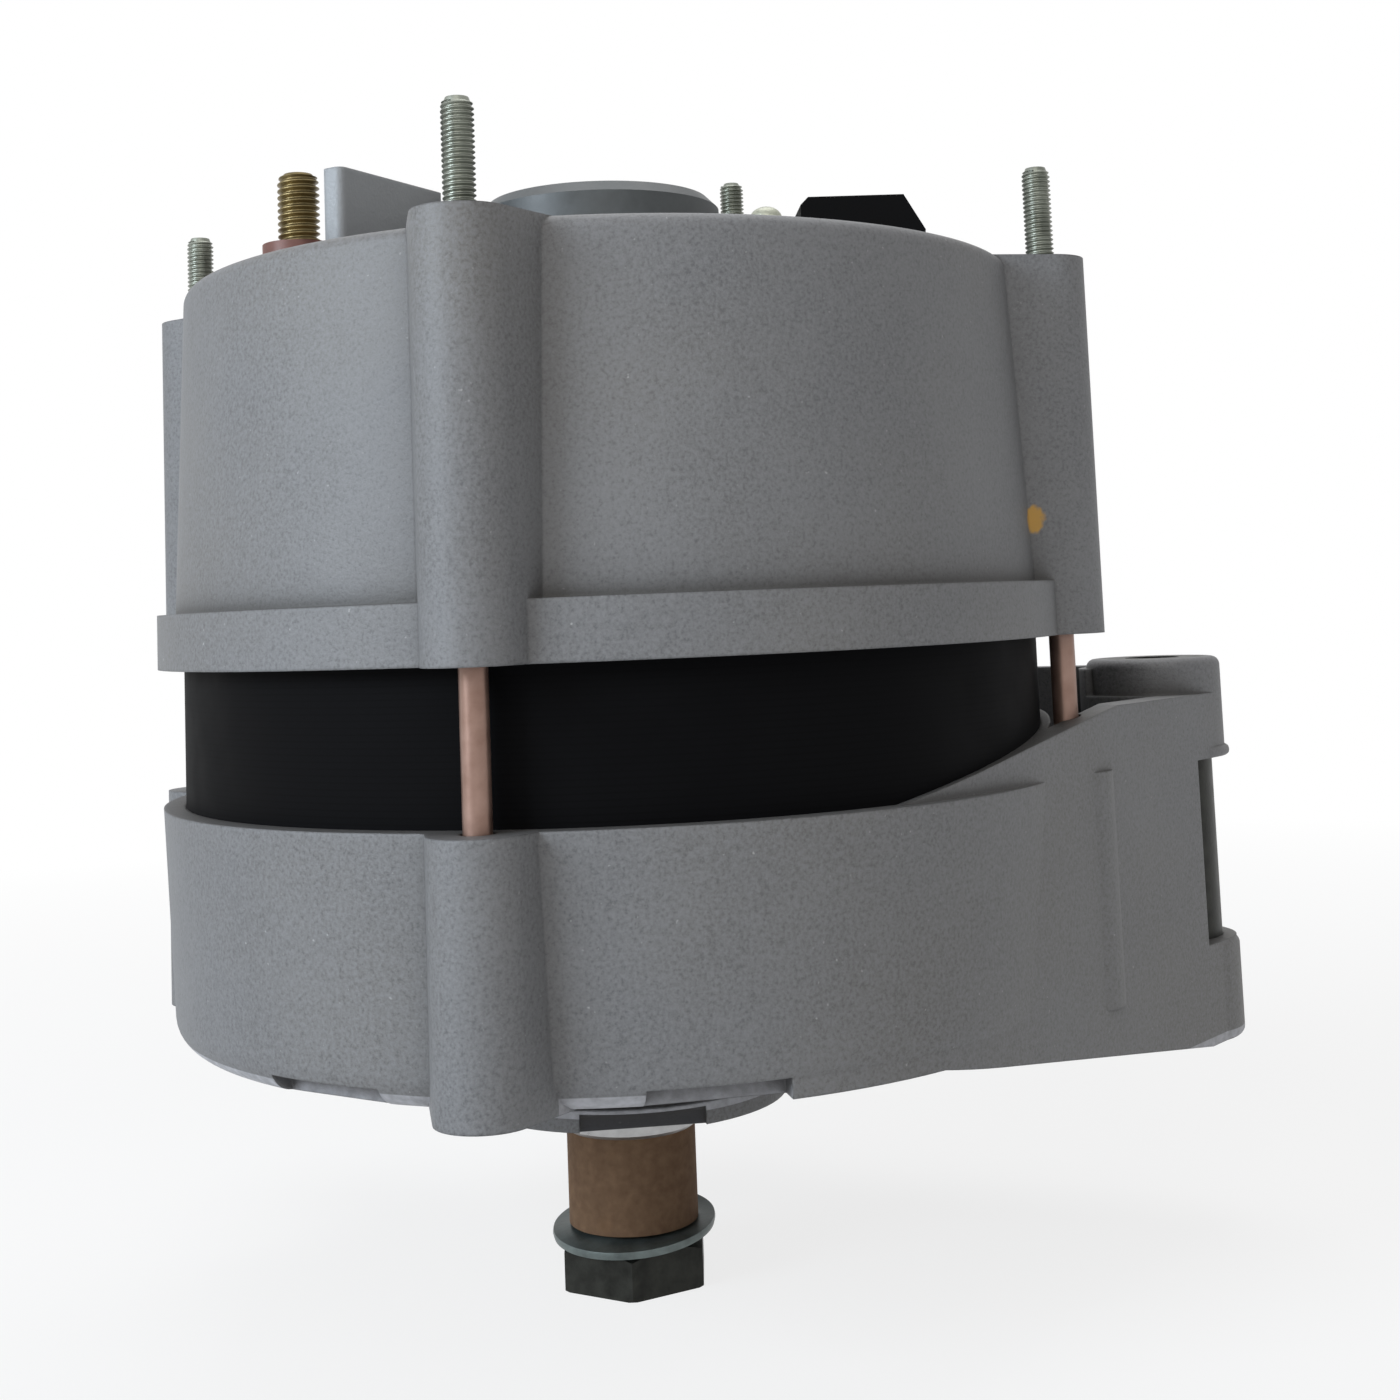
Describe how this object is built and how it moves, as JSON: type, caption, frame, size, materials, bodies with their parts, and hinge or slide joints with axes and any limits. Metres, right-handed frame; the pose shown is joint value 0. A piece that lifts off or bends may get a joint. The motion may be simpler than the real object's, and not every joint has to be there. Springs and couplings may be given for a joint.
{
  "type": "claw-pole alternator",
  "caption": "Belt-driven claw-pole alternator with cast swivel-arm end shield, laminated stator, rotor on two sealed bearings, spring-loaded brushes and rear terminals.",
  "frame": {"origin": "centre of the pulley seat, the lower face of the spacer ring on the shaft axis", "axes": "+Z along the shaft towards the slip-ring end, +X towards the pivot arm"},
  "size_m": [0.1988, 0.1747, 0.2049],
  "materials": {
    "bearing_steel": "ground steel",
    "black_plastic": "moulded",
    "black_steel": "black oxide",
    "brown_plastic": "moulded",
    "carbon": "sintered carbon copper",
    "cast_alloy": "as cast, matt",
    "copper": "enamelled copper",
    "forged_iron": "dark lacquered iron",
    "laminations": "black lacquered steel",
    "ring_bronze": "turned",
    "seal_rubber": "matt",
    "sink_alloy": "stamped sheet",
    "sleeve_board": "wound board, matt",
    "steel": "machined steel",
    "zinc_bolt": "yellow zinc plated"
  },
  "bodies": {
    "housing": {"drive_end_shield": "cast_alloy", "slip_ring_end_shield": "cast_alloy", "stator_core": "laminations", "stator_winding": "copper", "through_bolts": "zinc_bolt", "pivot_bush_lower": "black_steel", "pivot_bush_upper": "black_steel", "front_bearing_outer_race": "bearing_steel", "front_bearing_seals": "seal_rubber", "rear_bearing_outer_race": "bearing_steel", "rear_bearing_seals": "seal_rubber", "bearing_retainer": "steel", "retainer_screws": "zinc_bolt", "rear_bearing_cap": "black_plastic", "brush_holder": "black_plastic", "brush_spring_lower": "steel", "brush_spring_upper": "steel", "regulator_cover": "black_plastic", "holder_screws": "zinc_bolt", "negative_heat_sink": "sink_alloy", "positive_heat_sink": "sink_alloy", "negative_diodes": "steel", "positive_diodes": "steel", "sink_insulators": "brown_plastic", "sink_screws": "zinc_bolt", "main_terminal_stud": "zinc_bolt", "main_terminal_bush": "brown_plastic", "field_terminal_stud": "zinc_bolt", "field_terminal_bush": "brown_plastic", "field_terminal_nut": "zinc_bolt", "phase_terminal_stud": "zinc_bolt", "phase_terminal_bush": "black_plastic", "phase_terminal_nut": "zinc_bolt"},
    "rotor": {"rotor_shaft": "steel", "claw_pole_front": "forged_iron", "claw_pole_rear": "forged_iron", "coil_bobbin": "brown_plastic", "field_coil": "copper", "slip_ring_hub": "black_plastic", "slip_ring_lower": "ring_bronze", "slip_ring_upper": "ring_bronze", "front_bearing_inner_race": "bearing_steel", "rear_bearing_inner_race": "bearing_steel", "spacer_ring": "steel", "transport_sleeve": "sleeve_board", "spring_washer": "black_steel", "shaft_nut": "black_steel"},
    "front_cage": {"front_bearing_balls": "bearing_steel", "front_bearing_cage": "black_plastic"},
    "rear_cage": {"rear_bearing_balls": "bearing_steel", "rear_bearing_cage": "black_plastic"},
    "brush_lower_body": {"brush_lower": "carbon"},
    "brush_upper_body": {"brush_upper": "carbon"}
  },
  "joints": [
    {"name": "rotor_spin", "type": "hinge", "parent": "housing", "child": "rotor", "pos_m": [0, 0, 0.072], "axis": [0, 0, 1], "continuous": true},
    {"name": "front_cage_spin", "type": "hinge", "parent": "housing", "child": "front_cage", "pos_m": [0, 0, 0.019], "axis": [0, 0, 1], "continuous": true},
    {"name": "rear_cage_spin", "type": "hinge", "parent": "housing", "child": "rear_cage", "pos_m": [0, 0, 0.1505], "axis": [0, 0, 1], "continuous": true},
    {"name": "brush_lower_slide", "type": "slide", "parent": "housing", "child": "brush_lower_body", "axis": [0.9799, 0.1994, 0], "range_m": [0, 0.002], "stiffness_N_per_m": 250, "springref_m": -0.008, "deforming": ["brush_spring_lower"]},
    {"name": "brush_upper_slide", "type": "slide", "parent": "housing", "child": "brush_upper_body", "axis": [0.9799, 0.1994, 0], "range_m": [0, 0.002], "stiffness_N_per_m": 250, "springref_m": -0.008, "deforming": ["brush_spring_upper"]}
  ],
  "couplings": [
    {"joint": "front_cage_spin", "follows": "rotor_spin", "ratio": 0.3687},
    {"joint": "rear_cage_spin", "follows": "rotor_spin", "ratio": 0.38}
  ]
}
